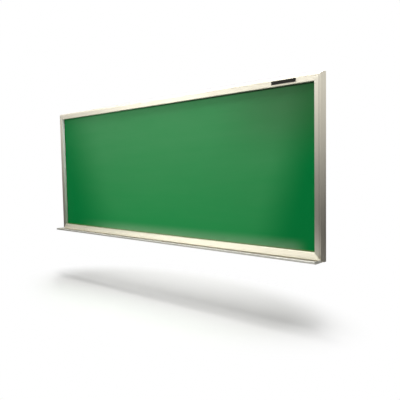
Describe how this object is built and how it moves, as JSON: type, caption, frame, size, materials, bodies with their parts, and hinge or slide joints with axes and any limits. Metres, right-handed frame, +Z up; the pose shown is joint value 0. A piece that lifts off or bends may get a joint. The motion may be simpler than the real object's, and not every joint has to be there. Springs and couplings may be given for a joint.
{
  "type": "school chalkboard",
  "caption": "Wall-hung school chalkboard: a green enamelled writing panel in a mitred aluminium frame, with a chalk tray along the bottom and hanging clips behind.",
  "frame": {"origin": "on the wall plane behind the middle of the board, on the centre stiffener's rear face", "axes": "+X to the reader's right along the board, +Y into the wall, +Z up; the writing side faces -Y"},
  "size_m": [3, 0.1416, 1.2021],
  "materials": {
    "anodised_aluminium": "satin, warm natural anodised",
    "tray_aluminium": "satin, natural anodised",
    "cast_key_alloy": "as cast",
    "green_enamel": "fine matt-satin vitreous enamel",
    "fibre_core_board": "pressed fibre board",
    "galvanised_steel": "galvanised",
    "pvc_packing": "extruded",
    "end_cap_plastic": "moulded, fine texture",
    "dark_name_plate": "satin, bare",
    "bumper_rubber": "moulded"
  },
  "bodies": {
    "root": {"top_rail": "anodised_aluminium", "bottom_rail": "anodised_aluminium", "left_stile": "anodised_aluminium", "right_stile": "anodised_aluminium", "corner_key_top_left": "cast_key_alloy", "corner_key_top_right": "cast_key_alloy", "corner_key_bottom_left": "cast_key_alloy", "corner_key_bottom_right": "cast_key_alloy", "writing_surface": "green_enamel", "core_panel": "fibre_core_board", "backing_sheet": "galvanised_steel", "packing_top": "pvc_packing", "packing_bottom": "pvc_packing", "packing_left": "pvc_packing", "packing_right": "pvc_packing", "chalk_tray": "tray_aluminium", "tray_end_cap_left": "end_cap_plastic", "tray_end_cap_right": "end_cap_plastic", "name_plate": "dark_name_plate", "back_stiffener_left": "galvanised_steel", "back_stiffener_centre": "galvanised_steel", "back_stiffener_right": "galvanised_steel", "hanging_clip_left": "galvanised_steel", "hanging_clip_centre": "galvanised_steel", "hanging_clip_right": "galvanised_steel", "wall_bumper_left": "bumper_rubber", "wall_bumper_centre": "bumper_rubber", "wall_bumper_right": "bumper_rubber"}
  },
  "joints": []
}
